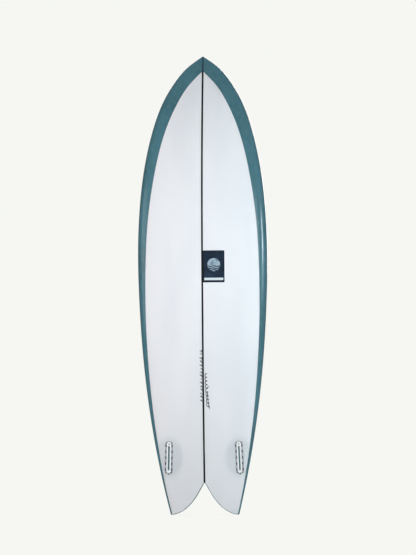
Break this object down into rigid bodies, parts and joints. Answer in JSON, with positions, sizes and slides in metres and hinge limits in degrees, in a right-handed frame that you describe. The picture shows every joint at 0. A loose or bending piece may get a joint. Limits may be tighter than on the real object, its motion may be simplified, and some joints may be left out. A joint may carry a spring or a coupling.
{
  "type": "fish surfboard",
  "caption": "Short swallow-tailed surfboard, pointed nose, white bottom with tinted lapped rails, black stringer, twin flush fin boxes and a leash plug.",
  "frame": {"origin": "centre of the foot of the bounding box: on the centre line, level with the two tail tips", "axes": "+Z from tail to nose along the stringer, -Y the way the bottom faces, +Y the way the deck faces, +X to the right of someone who looks at the bottom with the nose up"},
  "size_m": [0.517, 0.1222, 1.829],
  "materials": {
    "foam": "shaped white polyurethane foam",
    "stringer": "black-stained wood strip",
    "clear_glass": "clear resin over glass cloth",
    "tinted_glass": "glass cloth in teal-tinted resin",
    "cloth_patch": "extra glass cloth wetted out with resin",
    "gloss_coat": "clear sanded and polished resin",
    "box_plastic": "white moulded plastic",
    "plug_plastic": "white moulded plastic",
    "stainless": "stainless steel",
    "printed_tissue": "dark blue print on tissue"
  },
  "bodies": {
    "board": {"foam_core_left": "foam", "foam_core_right": "foam", "stringer": "stringer", "bottom_laminate": "clear_glass", "deck_laminate": "tinted_glass", "deck_patch": "cloth_patch", "bottom_gloss_coat": "gloss_coat", "deck_gloss_coat": "gloss_coat", "fin_patch_left": "cloth_patch", "fin_patch_right": "cloth_patch", "fin_box_left": "box_plastic", "fin_box_right": "box_plastic", "leash_cup": "plug_plastic", "leash_pin": "stainless", "bottom_label": "printed_tissue"},
    "fin_screw_left": {"fin_screw_left": "stainless"},
    "fin_screw_right": {"fin_screw_right": "stainless"}
  },
  "joints": [
    {"name": "fin_screw_left_travel", "type": "slide", "parent": "board", "child": "fin_screw_left", "axis": [-0.0108, -0.997, -0.0769], "range_m": [-0.0025, 0.0125]},
    {"name": "fin_screw_right_travel", "type": "slide", "parent": "board", "child": "fin_screw_right", "axis": [0.0108, -0.997, -0.0769], "range_m": [-0.0025, 0.0125]}
  ]
}
